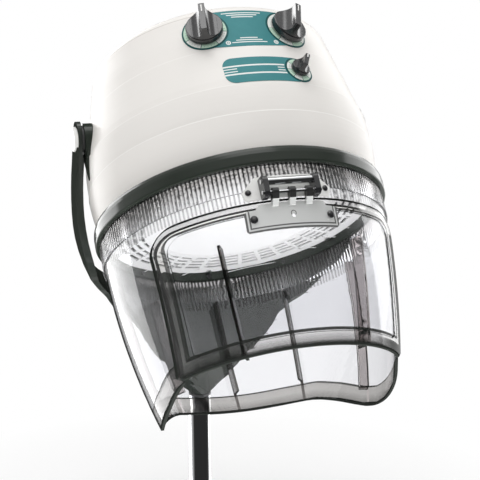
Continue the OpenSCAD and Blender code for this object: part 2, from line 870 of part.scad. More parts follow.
module rib_ring() {
    step = 360 / rib_count;
    base = visor_r - 1;
    tip = visor_r + rib_out;
    translate([0, 0, -rib_band_h]) linear_extrude(rib_band_h - 0.5) difference() {
        polygon([
            for (i = [0 : rib_count - 1])
                each [
                    [base * cos(step * i), base * sin(step * i)],
                    [tip * cos(step * (i + 0.35)), tip * sin(step * (i + 0.35))],
                    [tip * cos(step * (i + 0.65)), tip * sin(step * (i + 0.65))]
                ]
        ]);
        circle(r = visor_r - 2);
    }
}

module visor_shell() {
    color([0.85, 0.88, 0.88, 0.4]) hood_place() union() {
        difference() {
            union() {
                wall_ring(visor_line(0, visor_in_rim - seat, -side_depth - 2), visor_t);
                difference() {
                    wall_ring(visor_line(-visor_t + 0.2, -neck_depth + band_h, -side_depth - 2, 6), band_t + 0.2);
                    above_edge(band_h);
                }
            }
            difference() {
                translate([0, 0, -side_depth - 20]) cylinder(r = rim_r + 2, h = side_depth + 30);
                above_edge(0);
            }
            visor_screw_places() cylinder(r = 1.6, h = 8);
            front_prism(overlap);
            translate([0, -30, 0]) rotate([90, 0, 0]) linear_extrude(rim_r)
                polygon([
                    [-door_foot_w + overlap, -door_depth + overlap + 10],
                    [door_foot_w - overlap, -door_depth + overlap + 10],
                    [door_foot_w - overlap, -side_depth - 10],
                    [-door_foot_w + overlap, -side_depth - 10]
                ]);
        }
        difference() {
            rib_ring();
            front_prism(overlap);
        }
        for (a = fin_angles)
            fin(a, rib_band_h + 6, (a > 140 && a < 220 ? neck_depth : side_depth) - 26 - 2, -visor_t + 0.3);
    }
}

// Local +Z points outwards, with the origin on the rim's inner wall
module visor_screw_places() {
    for (a = [35, 145, 180, 215, 325])
        rotate([0, 0, a]) translate([0, -visor_r + visor_t + 2.8, 5]) rotate([90, 0, 0]) children();
}

module visor_screws() {
    color("silver") hood_place() visor_screw_places() union() {
        translate([0, 0, 0.1]) cylinder(r = 1.6, h = 7.7);
        translate([0, 0, -0.3]) cylinder(r = 1.2, h = 0.5);
        translate([0, 0, -2]) cylinder(r = 3.2, h = 1.8);
    }
}

module shell_screws() {
    color("silver") hood_place() boss_places() union() {
        translate([0, 0, plate_z0]) cylinder(r = 2, h = duct_z0 + duct_t + 14 - plate_z0);
        translate([0, 0, plate_z0 - 2.2]) cylinder(r = 3.8, h = 2.2);
    }
}

// ---- diffuser, duct, heater, fan ----
plate_r = visor_r - visor_t - 3.2;
plate_z0 = 12;
ledge_z = plate_z0 + plate_t;
ledge_t = 2;
slot_r0 = plate_r - 20;
dish_r = slot_r0 - row_pitch * slot_rows;

module slot(r, w) {
    half = 180 / slot_count - asin(spoke_w / 2 / r);
    polygon(concat(arc(r + w / 2, -half, half, 3), arc(r - w / 2, half, -half, 3)));
}

module diffuser_plate() {
    color("white") hood_place() translate([0, 0, plate_z0]) union() {
        linear_extrude(plate_t) difference() {
            circle(r = plate_r);
            circle(r = dish_r - 1);
            boss_places() circle(r = 2);
            for (k = [0 : slot_rows - 1])
                for (i = [0 : slot_count - 1])
                    rotate([0, 0, 360 / slot_count * i])
                        slot(slot_r0 - row_pitch * k, 5.5 - 0.6 * k);
        }
        rotate_extrude() polygon([
            [0, dish_rise], [dish_r * 0.5, dish_rise * 0.8], [dish_r * 0.85, dish_rise * 0.28],
            [dish_r, 0], [dish_r, plate_t], [dish_r * 0.85, dish_rise * 0.28 + plate_t],
            [dish_r * 0.5, dish_rise * 0.8 + plate_t], [0, dish_rise + plate_t]
        ]);
    }
}

duct_r = duct_d / 2;
duct_z0 = ledge_z + ledge_t;
cone_h = 44;

module air_duct() {
    color("lightgray") hood_place() difference() {
        rotate_extrude() polygon([
            [plate_r - 12, duct_z0], [plate_r, duct_z0], [plate_r, duct_z0 + duct_t],
            [plate_r - 9.5, duct_z0 + duct_t], [duct_r + duct_t, duct_z0 + cone_h], [duct_r + duct_t, duct_h - duct_t],
            [duct_r + 12, duct_h - duct_t], [duct_r + 12, duct_h], [duct_r, duct_h],
            [duct_r, duct_z0 + cone_h], [plate_r - 12, duct_z0 + duct_t]
        ]);
        translate([0, 0, duct_h - duct_t - 1]) bracket_places() cylinder(r = 2, h = duct_t + 2);
        boss_places() cylinder(r = 2, h = 60);
    }
}

module heater_frame() {
    board_h = 22;
    color("tan") hood_place() translate([0, 0, heater_h - board_h]) union() {
        for (a = [0, 60, 120])
            rotate([0, 0, a]) translate([-duct_r + seat, -1, 0])
                cube([duct_d - 2 * seat, 2, board_h]);
        cylinder(r = 14, h = board_h);
    }
}

module heater_coils() {
    color("silver") hood_place() translate([0, 0, heater_h + 2.5 + seat])
        for (r = [40, 62, 84])
            rotate_extrude() translate([r, 0]) circle(r = 2.5, $fn = 24);
}

bracket_t = 3;
fan_clear = 4;

module motor_bracket() {
    color("silver") hood_place() translate([0, 0, duct_h]) linear_extrude(bracket_t) difference() {
        union() {
            difference() {
                circle(r = duct_r + 12);
                circle(r = duct_r - 3);
            }
            circle(r = motor_d / 2 + 6);
            for (a = [45, 135])
                rotate(a) square([duct_d + 4, 18], center = true);
        }
        circle(r = 9);
        bracket_places() circle(r = 2);
    }
}

module bracket_places() {
    for (a = [0 : 90 : 270])
        rotate([0, 0, a]) translate([duct_r + 6, 0]) children();
}

module bracket_screws() {
    color("silver") hood_place() translate([0, 0, duct_h + bracket_t]) bracket_places() union() {
        translate([0, 0, -bracket_t - duct_t]) cylinder(r = 2, h = bracket_t + duct_t);
        cylinder(r = 4, h = 2.6);
    }
}

module fan_motor() {
    color("gray") hood_place() translate([0, 0, duct_h + bracket_t]) difference() {
        union() {
            cylinder(r = motor_d / 2, h = motor_h);
            translate([0, 0, motor_h]) cylinder(r = motor_d / 5, h = 6);
        }
        translate([0, 0, -1]) cylinder(r = 4 + run, h = motor_h - 8);
    }
}

fan_z = duct_h - 34;
fan_h = 26;

module fan_impeller() {
    hub = 26;
    color("dimgray") hood_place() translate([0, 0, fan_z]) difference() {
        union() {
            cylinder(r = hub, h = fan_h);
            for (i = [0 : blade_count - 1])
                rotate([0, 0, 360 / blade_count * i]) intersection() {
                    translate([hub - 3, 0, fan_h / 2]) rotate([32, 0, 0])
                        translate([0, -24, -1.2]) cube([fan_d / 2, 48, 2.4]);
                    difference() {
                        cylinder(r = fan_d / 2, h = fan_h);
                        translate([0, 0, -1]) cylinder(r = hub - 2, h = fan_h + 2);
                    }
                }
        }
        translate([0, 0, -1]) cylinder(r = 4, h = fan_h + 2);
    }
}

module fan_shaft() {
    color("silver") hood_place() translate([0, 0, fan_z - 3])
        cylinder(r = 4, h = duct_h + bracket_t - fan_z + motor_h - 18);
}

module terminal_block() {
    color("ivory") hood_place() rotate([0, 0, 45]) translate([-20, duct_r - 2, duct_h + bracket_t]) difference() {
        cube([40, 13, 16]);
        for (i = [0 : 2])
            translate([8 + 12 * i, 6.5, 8]) cylinder(r = 2, h = 10);
    }
}

// ---- hinge ----
module hinge_base() {
    r = visor_r + rib_out + 0.4;
    color([0.8, 0.82, 0.82]) hood_place() difference() {
        intersection() {
            translate([0, 0, -60]) difference() {
                cylinder(r = r + 2, h = 60);
                translate([0, 0, -1]) cylinder(r = r, h = 62);
            }
            translate([0, -60, 0]) rotate([90, 0, 0]) linear_extrude(rim_r) polygon([
                [-40, -18], [40, -18], [58, -36], [54, -48], [-54, -48], [-58, -36]
            ]);
        }
        mirrored() at_front(base_screw[0], base_screw[1]) translate([0, 0, -10])
            cylinder(r = 2, h = 20);
    }
}

// Local +Z points out of the visor's front at a place x across and z below the rim
module at_front(x, z) {
    r = visor_r + rib_out + 0.4;
    rotate([0, 0, asin(x / r)]) translate([0, -r, -z]) rotate([90, 0, 0]) children();
}

module hinge_lugs() {
    r = visor_r + rib_out + 2.4;
    out = -hinge_y;
    color([0.12, 0.12, 0.12]) hood_place() mirrored() difference() {
        intersection() {
            translate([lug_x - lug_t / 2, 0, 0]) rotate([90, 0, 90]) linear_extrude(lug_t)
                hull() {
                    translate([hinge_y, -hinge_z]) circle(r = lug_r, $fn = 32);
                    translate([hinge_y + 1, -barrel_z]) circle(r = lug_r + 1, $fn = 32);
                    translate([-r + 8, -hinge_z - lug_r + 2]) square([1, hinge_z - barrel_z + lug_r + 6]);
                }
            difference() {
                translate([0, 0, -80]) cylinder(r = rim_r + 30, h = 80);
                translate([0, 0, -81]) cylinder(r = r, h = 82);
            }
        }
        translate([0, hinge_y, -hinge_z]) rotate([0, 90, 0]) cylinder(r = hinge_pin_d / 2, h = 60);
        translate([0, hinge_y + 1, -barrel_z]) rotate([0, 90, 0]) cylinder(r = 3, h = 60);
    }
}

module spring_barrel() {
    gap = lug_x - lug_t / 2 - seat;
    color("silver") hood_place() translate([0, hinge_y + 1, -barrel_z]) rotate([0, 90, 0]) union() {
        translate([0, 0, -gap]) cylinder(r = barrel_d / 2, h = 2 * gap);
        translate([0, 0, -lug_x - lug_t / 2 - 1]) cylinder(r = 3 - eps, h = 2 * lug_x + lug_t + 2);
    }
}

module hinge_pin() {
    color("silver") hood_place() translate([-lug_x - lug_t / 2 - 2, hinge_y, -hinge_z])
        rotate([0, 90, 0]) cylinder(r = hinge_pin_d / 2, h = 2 * lug_x + lug_t + 4);
}

module hinge_screws() {
    color([0.15, 0.15, 0.15]) hood_place() mirrored()
        at_front(base_screw[0], base_screw[1]) union() {
            translate([0, 0, -2]) cylinder(r = 2, h = 4);
            translate([0, 0, 2]) rotate_extrude() polygon([[0, 0], [4, 0], [3.4, 1.6], [2, 2.4], [0, 2.6]]);
        }
}

// ---- door ----
module door_panel() {
    grow = door_gap + visor_t;
    color([0.85, 0.88, 0.88, 0.4]) hood_place() difference() {
        union() {
            intersection() {
                wall_ring(visor_line(grow, -door_top + 4, -door_depth - 4), visor_t);
                front_prism(0);
            }
            intersection() {
                wall_ring(visor_line(grow + band_t, -door_top + 4, -door_depth - 4), band_t + 0.2);
                difference() {
                    front_prism(0);
                    front_prism(border_w);
                }
            }
            for (a = door_fin_angles)
                fin(a, door_fin_top, door_depth - 2, door_gap + 0.3);
        }
        mirrored() door_front(plate_screw[0], plate_screw[1]) translate([0, 0, -12])
            cylinder(r = 2, h = 20);
    }
}

// Local +Z points out of the door's face at a place x across and z below the rim
module door_front(x, z) {
    r = visor_wall_r(-z) + door_gap + visor_t;
    rotate([0, 0, asin(x / r)]) translate([0, -r, -z]) rotate([90, 0, 0]) children();
}

module door_plate() {
    grow = door_gap + visor_t + band_t + seat;
    color("silver") hood_place() difference() {
        union() {
            intersection() {
                wall_ring(visor_line(grow + 2, -plate_z[0] + 2, -plate_z[1] - 2, 8), 2);
                translate([0, -60, 0]) rotate([90, 0, 0]) linear_extrude(rim_r) polygon([
                    [-42, -plate_z[0]], [42, -plate_z[0]], [46, -plate_z[0] - 6],
                    [plate_half_w - 2, -plate_z[0] - 7], [plate_half_w, -plate_z[0] - 9],
                    [plate_half_w, -plate_z[1] + 3], [plate_half_w - 3, -plate_z[1]],
                    [-plate_half_w + 3, -plate_z[1]], [-plate_half_w, -plate_z[1] + 3],
                    [-plate_half_w, -plate_z[0] - 9], [-plate_half_w + 2, -plate_z[0] - 7],
                    [-46, -plate_z[0] - 6]
                ]);
            }
            for (x = [-22, 0, 22])
                translate([x - 4, 0, 0]) rotate([90, 0, 90]) linear_extrude(8) hull() {
                    translate([hinge_y, -hinge_z]) circle(r = knuckle_r, $fn = 32);
                    translate([hinge_y + 7.8, -plate_z[0] - 3]) circle(r = 2.5, $fn = 32);
                }
        }
        translate([-60, hinge_y, -hinge_z]) rotate([0, 90, 0])
            cylinder(r = hinge_pin_d / 2 + run, h = 120);
        mirrored() door_front(plate_screw[0], plate_screw[1]) translate([0, 0, -2])
            cylinder(r = 2, h = 20);
        door_front(0, plate_screw[1]) translate([0, 0, -2]) cylinder(r = 2.5, h = 20);
    }
}

module door_screws() {
    face = band_t + seat + 2;
    color([0.15, 0.15, 0.15]) hood_place() mirrored()
        door_front(plate_screw[0], plate_screw[1]) union() {
            translate([0, 0, -visor_t - 1]) cylinder(r = 1.95, h = visor_t + face + 2);
            translate([0, 0, face + 0.6]) rotate_extrude()
                polygon([[0, 0], [5, 0], [4.4, 1.8], [2.6, 2.8], [0, 3]]);
            translate([0, 0, -visor_t - 3]) cylinder(r = 4, h = 2.5, $fn = 6);
        }
}

stand_tube();
yoke_frame();
yoke_spigot();
swivel_washer();
hub_screw();
tilt_pin_left();
tilt_pin_right();
pin_nuts();
friction_washers();
pivot_cap_left();
pivot_cap_right();
lower_shell();
top_cap();
rim_ring();
pivot_shoe_left();
pivot_shoe_right();
pivot_bush_left();
pivot_bush_right();
cable_gland();
cap_screws();
shell_screws();
upper_label();
lower_label();
dial_rings();
timer_unit();
thermostat_unit();
regulator_unit();
control_nuts();
timer_knob();
timer_shaft();
timer_mark();
thermostat_knob();
thermostat_shaft();
thermostat_mark();
regulator_knob();
regulator_shaft();
regulator_mark();
visor_shell();
visor_screws();
diffuser_plate();
air_duct();
heater_frame();
heater_coils();
motor_bracket();
bracket_screws();
fan_motor();
fan_impeller();
fan_shaft();
terminal_block();
hinge_base();
hinge_lugs();
spring_barrel();
hinge_pin();
hinge_screws();
door_panel();
door_plate();
door_screws();
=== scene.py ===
import json
import math

import bpy
import numpy as np
from mathutils import Matrix, Vector

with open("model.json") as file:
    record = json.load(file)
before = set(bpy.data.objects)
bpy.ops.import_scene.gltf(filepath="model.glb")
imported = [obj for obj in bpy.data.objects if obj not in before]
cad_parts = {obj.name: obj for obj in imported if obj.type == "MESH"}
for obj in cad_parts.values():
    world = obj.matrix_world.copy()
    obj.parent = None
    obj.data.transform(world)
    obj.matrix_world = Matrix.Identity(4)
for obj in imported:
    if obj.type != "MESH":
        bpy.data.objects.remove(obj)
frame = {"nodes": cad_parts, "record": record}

nodes = frame["nodes"]
scene = bpy.context.scene
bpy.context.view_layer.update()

hairline = 0.00008  # how soft the edge of a drawn line is, to each side
toDegrees = 180 / math.pi


# the hood's own frame has its origin in the middle of the rim's lower face, and +Z up the shell
hood = {
    "pivot": (0.0, -0.133, 0.6503),
    "pivotAboveRim": 0.147,
    "lean": math.radians(35),
}


def hoodMatrix():
    turn = Matrix.Rotation(-hood["lean"], 4, "X")
    drop = Matrix.Translation((0, 0, -hood["pivotAboveRim"]))
    return Matrix.Translation(hood["pivot"]) @ turn @ drop


# each dial's angle round the hood, distance from its axis, height above the rim, and the shell's slope there
dialPlace = {
    "timer": (-17.8, 0.17532, 0.20825, -0.2253),
    "thermostat": (20, 0.17532, 0.20825, -0.2253),
    "regulator": (17.3, 0.19031, 0.13669, -0.2378),
}


def dialMatrix(angle, radius, height, slope):
    # local +Z is the shell's outward normal under a knob, local +Y points up the shell
    turn = Matrix.Rotation(math.radians(angle), 4, "Z")
    place = Matrix.Translation((0, -radius, height))
    tip = Matrix.Rotation(math.radians(90) + math.atan(slope), 4, "X")
    return hoodMatrix() @ turn @ place @ tip


class Wire:  # one socket of a material, so that shader maths reads as Python
    def __init__(self, paint, socket):
        self.paint = paint
        self.socket = socket

    def maths(self, operation, *values):
        numbered = dict(enumerate((self,) + values))
        return self.paint.node("ShaderNodeMath", {"operation": operation}, numbered)

    def __add__(self, other): return self.maths("ADD", other)
    def __radd__(self, other): return self.maths("ADD", other)
    def __sub__(self, other): return self.maths("SUBTRACT", other)
    def __mul__(self, other): return self.maths("MULTIPLY", other)
    def __rmul__(self, other): return self.maths("MULTIPLY", other)
    def __pow__(self, other): return self.maths("POWER", other)
    def __abs__(self): return self.maths("ABSOLUTE")

    def __rsub__(self, other):
        return self.paint.node("ShaderNodeMath", {"operation": "SUBTRACT"}, {0: other, 1: self})

    def atMost(self, other): return self.maths("MINIMUM", other)
    def atLeast(self, other): return self.maths("MAXIMUM", other)
    def wrapped(self, whole): return self.maths("FLOORED_MODULO", whole)
    def folded(self, half): return self.maths("PINGPONG", half)
    def bearing(self, ahead): return self.maths("ARCTAN2", ahead) * toDegrees  # 0 straight ahead

    def spread(self, low, high, toLow=0.0, toHigh=1.0):
        return self.paint.node("ShaderNodeMapRange", {"clamp": True}, {
            "Value": self, "From Min": low, "From Max": high, "To Min": toLow, "To Max": toHigh})

    def over(self, edge, soft=hairline):
        # 0 below the edge, 1 above it
        return self.spread(edge - soft, edge + soft)

    def between(self, low, high, soft=hairline):
        # 1 where low < value < high, with soft edges
        return self.over(low, soft) * (1 - self.over(high, soft))


def most(masks):
    # the largest of several masks
    together = masks[0]
    for mask in masks[1:]:
        together = together.atLeast(mask)
    return together


class Wiring:  # a node tree while it is wired
    def __init__(self, owner, output):
        owner.use_nodes = True
        self.tree = owner.node_tree
        self.tree.nodes.clear()
        self.output = self.tree.nodes.new(output)

    def surface(self, wire):
        self.tree.links.new(wire.socket, self.output.inputs["Surface"])

    def node(self, kind, settings=(), inputs=(), out=0):
        made = self.tree.nodes.new(kind)
        for key, value in dict(settings).items():
            if key == "stops":
                for i, (place, colour) in enumerate(value):
                    stop = made.color_ramp.elements[i] if i < 2 else made.color_ramp.elements.new(place)
                    stop.position, stop.color = place, (*colour, 1)
            else:
                setattr(made, key, value)
        for key, value in dict(inputs).items():
            if isinstance(value, Wire):
                self.tree.links.new(value.socket, made.inputs[key])
            else:
                made.inputs[key].default_value = value
        return Wire(self, made.outputs[out])

    def place(self, coordinates="Object"):
        return self.node("ShaderNodeTexCoord", out=coordinates)

    def parts(self, vector):
        split = self.node("ShaderNodeSeparateXYZ", {}, {"Vector": vector}).socket.node
        return [Wire(self, split.outputs[i]) for i in range(3)]

    def local(self, matrix):
        # Object coordinates seen in another frame
        inverse = matrix.inverted()
        turn, shift = inverse.to_euler("XYZ"), inverse.to_translation()
        return self.node("ShaderNodeMapping", {"vector_type": "POINT"}, {
            "Vector": self.place(), "Location": shift, "Rotation": turn})

    def stretched(self, vector, scale):
        return self.node("ShaderNodeMapping", {}, {"Vector": vector, "Scale": scale})

    def noise(self, scale, detail, vector=None):
        return self.node("ShaderNodeTexNoise", {}, {
            "Vector": vector or self.place(), "Scale": scale, "Detail": detail, "Roughness": 0.5})

    def mix(self, mask, first, second):
        made = self.tree.nodes.new("ShaderNodeMix")
        made.data_type = "RGBA"
        for socket, value in ((made.inputs[0], mask), (made.inputs[6], first), (made.inputs[7], second)):
            if isinstance(value, Wire):
                self.tree.links.new(value.socket, socket)
            else:
                socket.default_value = (*value, 1.0)[:4] if isinstance(value, (tuple, list)) else value
        return Wire(self, made.outputs[2])

    def mixShaders(self, share, first, second):
        return self.node("ShaderNodeMixShader", {}, {0: share, 1: first, 2: second})

    def grey(self, colour):
        return self.node("ShaderNodeRGBToBW", {}, {"Color": colour})

    def path(self, ray):
        return self.node("ShaderNodeLightPath", out=ray)


class Paint(Wiring):  # one material with a Principled shader
    def __init__(self, name, **shader):
        self.material = bpy.data.materials.new(name)
        super().__init__(self.material, "ShaderNodeOutputMaterial")
        self.shader = self.tree.nodes.new("ShaderNodeBsdfPrincipled")
        self.finish = Wire(self, self.shader.outputs[0])
        self.surface(self.finish)
        for key, value in shader.items():
            self.put(key, value)

    def put(self, key, value):
        # baseColor -> Base Color
        name = "".join(" " + c if c.isupper() else c for c in key)
        name = " ".join(w.capitalize() for w in name.split()).replace("Ior", "IOR")
        socket = self.shader.inputs[name]
        if isinstance(value, Wire):
            self.tree.links.new(value.socket, socket)
        elif isinstance(value, (tuple, list)):
            socket.default_value = (*value, 1.0)[:4]
        else:
            socket.default_value = value

    def roughen(self, grain, least, vary):
        self.put("roughness", grain * vary + least)

    def rounded(self, radius):
        return self.node("ShaderNodeBevel", {"samples": 4}, {"Radius": radius})

    def bump(self, height, depth, strength, edge):
        self.put("normal", self.node("ShaderNodeBump", {}, {
            "Height": height, "Distance": depth, "Strength": strength, "Normal": self.rounded(edge)}))

    def edges(self, radius, gain):
        # 1 along the edges of a piece, where the rounded normal leaves the flat one
        flat = self.node("ShaderNodeNewGeometry", out="Normal")
        turned = self.node("ShaderNodeVectorMath", {"operation": "DOT_PRODUCT"}, {
            0: flat, 1: self.rounded(radius)}, "Value")
        return ((1 - turned) * gain).atMost(1)

    def turnedAway(self, low, high):
        # 0 where the surface faces the eye, 1 where it is seen edge on
        return self.node("ShaderNodeLayerWeight", {}, {"Blend": 0.5}, "Facing").spread(low, high)

    def matt(self, colour, roughness):
        # a second shader, without any shine
        return self.node("ShaderNodeBsdfPrincipled", {}, {
            "Base Color": (*colour, 1), "Roughness": roughness, "Specular IOR Level": 0.0})


print("scene: wiring ready")


# In every finish below, a noise is given as its scale and detail, a roughness as its least value and what the
# noise adds to it, and a bump as its depth and strength.

whiteFinish = {
    "light": (0.815, 0.793, 0.764), "shade": (0.79, 0.765, 0.732), "cloud": (9, 3), "shine": 0.2,
    "grain": (60, 3), "rough": (0.27, 0.12), "peel": (900, 2), "peelBump": (0.00006, 0.35), "edge": 0.0006,
    "steps": ((0.0726, 0.9), (0.1141, 0.5), (0.1755, 0.3)),  # height of each step's edge, and how strongly the painted highlight along it shows
    "stepPaintedHighlight": (0.93, 0.92, 0.9), "stepHalf": 0.0007,
    "seam": 0.238, "seamDark": (0.42, 0.38, 0.34), "seamShare": 0.5, "seamHalf": 0.0005, "lineSoft": 0.0003,
}


def whiteShell():
    m = Paint("whiteShell", ior=1.47, specularIorLevel=whiteFinish["shine"])
    colour = m.mix(m.noise(*whiteFinish["cloud"]), whiteFinish["light"], whiteFinish["shade"])
    x, y, z = m.parts(m.local(hoodMatrix()))
    half, soft = whiteFinish["stepHalf"], whiteFinish["lineSoft"]
    # a painted highlight line along the edge of each step
    for height, share in whiteFinish["steps"]:
        line = z.between(height - half, height + half, soft)
        colour = m.mix(line * share, colour, whiteFinish["stepPaintedHighlight"])
    seam, half = whiteFinish["seam"], whiteFinish["seamHalf"]
    line = z.between(seam - half, seam + half, soft)
    m.put("baseColor", m.mix(line * whiteFinish["seamShare"], colour, whiteFinish["seamDark"]))
    m.roughen(m.noise(*whiteFinish["grain"]), *whiteFinish["rough"])
    m.bump(m.noise(*whiteFinish["peel"]), *whiteFinish["peelBump"], whiteFinish["edge"])
    return m.material


glossFinish = {
    "cloud": (14, 2), "grain": (180, 4), "wave": (55, 2), "edge": 0.0012,
    "darkGloss": {"dark": (0.021, 0.026, 0.021), "light": (0.02835, 0.0351, 0.02835),
                  "rough": (0.10, 0.1), "shine": 0.3, "waveBump": (0.0003, 0.25)},
    "blackGloss": {"dark": (0.012, 0.012, 0.013), "light": (0.0162, 0.0162, 0.01755),
                   "rough": (0.15, 0.1), "shine": 0.95, "waveBump": (0.0003, 0.25)},
    "yokeGloss": {"dark": (0.03, 0.034, 0.03), "light": (0.04, 0.045, 0.04),
                  "rough": (0.05, 0.06), "shine": 0.4, "waveBump": (0.0003, 0.05),
                  "dull": (0.035, 0.04, 0.035), "dullRough": 0.6, "dullFrom": (0.45, 0.65)},
}


def gloss(name):
    finish = glossFinish[name]
    m = Paint(name, ior=1.5, specularIorLevel=finish["shine"])
    m.put("baseColor", m.mix(m.noise(*glossFinish["cloud"]), finish["dark"], finish["light"]))
    m.roughen(m.noise(*glossFinish["grain"]), *finish["rough"])
    m.bump(m.noise(*glossFinish["wave"]), *finish["waveBump"], glossFinish["edge"])
    if "dull" in finish:
        # polished where it is seen face on, dull at a low angle
        dull = m.matt(finish["dull"], finish["dullRough"])
        m.surface(m.mixShaders(m.turnedAway(*finish["dullFrom"]), m.finish, dull))
    return m.material


clearFinish = {
    "tint": (0.885, 0.888, 0.912), "tintShade": (0.871725, 0.87468, 0.89832), "cloud": (7, 2),
    "grain": (320, 4), "grainFrom": 0.5, "rough": (0.012, 0.12), "shadow": (0.88, 0.88, 0.89),
    "ink": (0.02, 0.022, 0.02), "paintedShadeRough": 0.5,  # painted shade, for a clear wall seen edge on and for its cut edges
    "edgeOn": (0.78, 0.89), "edgeRadius": 0.0016, "edgeGain": 7.0,
    # painted shade: the colour near a lower cut edge, and the dark and pale lines of the clear fins
    "lowEdgePaintedShade": (0.16, 0.155, 0.15), "darkFinPaintedShade": (0.11, 0.10, 0.095), "paleFinPaintedShade": (0.52, 0.48, 0.475),
    "finHalf": 0.0019,
}
# Heights are measured from the rim, and bands inwards from the piece's own outline. A fade is two places and
# its values there. The door's two half widths are those at its foot and its top.
doorShape = {
    "half": (0.149, 0.163), "foot": -0.232, "top": -0.05, "corner": 0.026, "footShare": 0.66,
    "tint": (0.76, 0.752, 0.745), "band": 0.014, "line": 0.0020, "bandLinePaintedShade": 0.8, "edge": 0.0016,
    "deep": (0.003, 0.016), "footPaintedShade": (0.0025, 0.0065), "footDepth": 0.85,
    "farEdge": 0.0085, "farFrom": (0.092, 0.122), "farTop": -0.075, "farPaintedShade": 0.8,
    "plain": (0.0165, 0.036),  # no painted shade is put on a cut edge in this band
    "fins": {-29.3: "darkFinPaintedShade", 29.3: "paleFinPaintedShade"}, "finTop": -0.093,
}
visorShape = {
    "across": 0.2, "lowest": -0.26, "rise": 0.06,
    # the wavy lower edge: how far back each point is, and its height
    "edgeLine": (
        (-0.2, -0.232), (-0.095, -0.232), (-0.062, -0.239), (-0.03, -0.251), (0.01, -0.259),
        (0.034, -0.259), (0.066, -0.249), (0.105, -0.228), (0.132, -0.215), (0.16, -0.211)),
    "tint": (0.47, 0.46, 0.45), "band": 0.026, "line": 0.0016, "bandLinePaintedShade": 0.7, "edge": 0.0034,
    "deep": (0.003, 0.015), "footDepth": 0.7,
    # painted shade along the opening's edge, in the rib valleys and over the upper rib band
    "opening": (0.0064, 0.009), "openingBack": -0.03, "openingPaintedShade": 0.9,
    "ribs": 216, "ribBand": (-0.0475, 0.001), "ribValleyPaintedShade": 0.8, "ribRough": 0.07,
    "ribWidth": (0.19, 0.12),  # a valley's half width and softness, as shares of the step between ribs
    "ribFade": (-0.040, -0.008, 0.3, 1), "ribUpperPaintedShade": (0.55, 0.53, 0.52),
    "ribUpperPaintedShadeFade": (-0.030, -0.006, 0.1, 0.9),
    "fins": {110: "paleFinPaintedShade", 147.5: "darkFinPaintedShade", 180: "darkFinPaintedShade", 212.5: "paleFinPaintedShade", 250: "paleFinPaintedShade"},
    "finTop": -0.038, "finReach": (0.1905, 0.1915),
}


def doorInside(x, z):
    # distance in from the door's outline, whose two upper corners are round
    corner, foot, top = doorShape["corner"], doorShape["foot"], doorShape["top"]
    half = z.spread(foot, top - corner, *doorShape["half"])
    across = (abs(x) - half + corner).atLeast(0)
    above = (z - (top - corner)).atLeast(0)
    inside = corner - (across * across + above * above) ** 0.5
    return inside.atMost((z - foot) * doorShape["footShare"])


def doorBands(m, x, y, z, colour):
    door = doorShape
    inside, above = doorInside(x, z), z - door["foot"]
    colour = m.mix(1 - inside.over(door["band"]), colour, door["tint"])
    # painted shade, darker towards the lower cut edge
    colour = m.mix(above.spread(*door["deep"], door["footDepth"], 0), colour, clearFinish["lowEdgePaintedShade"])
    # painted shade along the band's inner step, along the outline and towards the foot
    ink = inside.between(door["band"] - door["line"], door["band"]) * door["bandLinePaintedShade"]
    ink = ink.atLeast(1 - inside.over(door["edge"]))
    ink = ink.atLeast(above.spread(*door["footPaintedShade"], door["footDepth"], 0))
    # painted shade on the far side, which is seen along its wall
    far = (1 - inside.over(door["farEdge"])) * x.spread(*door["farFrom"]) * (1 - z.over(door["farTop"]))
    ink = ink.atLeast(far * door["farPaintedShade"])
    # painted shade along the cut edges, outside the plain band
    cut = m.edges(clearFinish["edgeRadius"], clearFinish["edgeGain"])
    return colour, ink.atLeast(cut * (1 - inside.between(*door["plain"])))


def visorBands(m, x, y, z, colour):
    visor = visorShape
    across, lowest, rise = visor["across"], visor["lowest"], visor["rise"]
    stops = [((back + across) / (2 * across), ((height - lowest) / rise,) * 3)
             for back, height in visor["edgeLine"]]
    ramp = m.node("ShaderNodeValToRGB", {"stops": stops}, {"Fac": y.spread(-across, across)})
    above = z - (m.grey(ramp) * rise + lowest)
    colour = m.mix(1 - above.over(visor["band"]), colour, visor["tint"])
    # painted shade, darker towards the lower cut edge
    colour = m.mix(above.spread(*visor["deep"], visor["footDepth"], 0), colour, clearFinish["lowEdgePaintedShade"])
    # painted shade along the band's inner step and along the outline
    ink = above.between(visor["band"] - visor["line"], visor["band"]) * visor["bandLinePaintedShade"]
    ink = ink.atLeast(1 - above.over(visor["edge"]))
    # a painted dark line along the edge of the opening behind the door
    opening = doorInside(x, z).between(*visor["opening"])
    ink = ink.atLeast(opening * (1 - y.over(visor["openingBack"])) * visor["openingPaintedShade"])
    # painted shade over the upper part of the ribbed band, standing in for the dark parts seen through it,
    # and in the valleys between its fine ribs
    ribbed = z.between(*visor["ribBand"])
    colour = m.mix(ribbed * z.spread(*visor["ribUpperPaintedShadeFade"]), colour, visor["ribUpperPaintedShade"])
    # painted shade along cut edges outside the ribbed band
    ink = ink.atLeast(m.edges(clearFinish["edgeRadius"], clearFinish["edgeGain"]) * (1 - ribbed))
    step = 360 / visor["ribs"]
    valley = (y.bearing(x) + 360).folded(step / 2)
    width, soft = (share * step for share in visor["ribWidth"])
    lines = (1 - valley.over(width, soft)) * ribbed * z.spread(*visor["ribFade"])
    return colour, ink.atLeast(lines * visor["ribValleyPaintedShade"])


